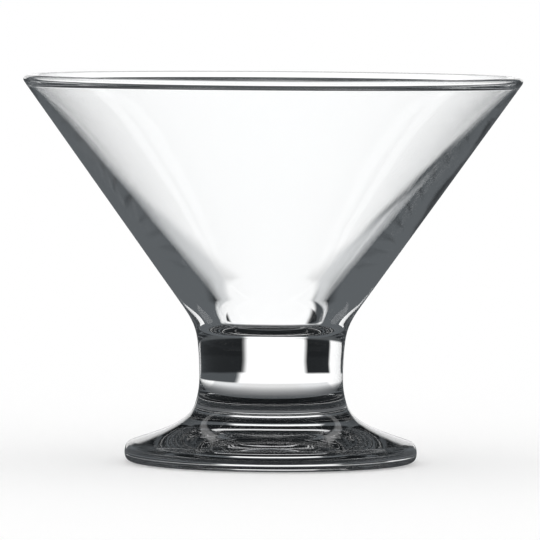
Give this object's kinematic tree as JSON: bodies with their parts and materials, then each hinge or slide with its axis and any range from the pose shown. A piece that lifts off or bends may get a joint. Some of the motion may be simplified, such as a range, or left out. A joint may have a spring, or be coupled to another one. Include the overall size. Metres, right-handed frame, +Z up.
{
  "type": "ice cream glass",
  "caption": "Footed ice cream glass with a wide conical bowl, a short thick stem and a round foot, for serving ice cream and desserts.",
  "frame": {"origin": "centre of the plane that the standing ring of the foot rests on", "axes": "+Z up along the axis of the glass, from the foot to the rim; X and Y are alike, because the glass is round"},
  "size_m": [0.118, 0.118, 0.0914],
  "materials": {
    "bowl_glass": "clear pressed soda-lime glass, fire polished, with a rounded rim",
    "stem_glass": "clear solid soda-lime glass, fire polished",
    "foot_glass": "clear pressed soda-lime glass, with fine scuffs on the standing ring"
  },
  "bodies": {
    "root": {"bowl": "bowl_glass", "stem": "stem_glass", "foot": "foot_glass"}
  },
  "joints": []
}
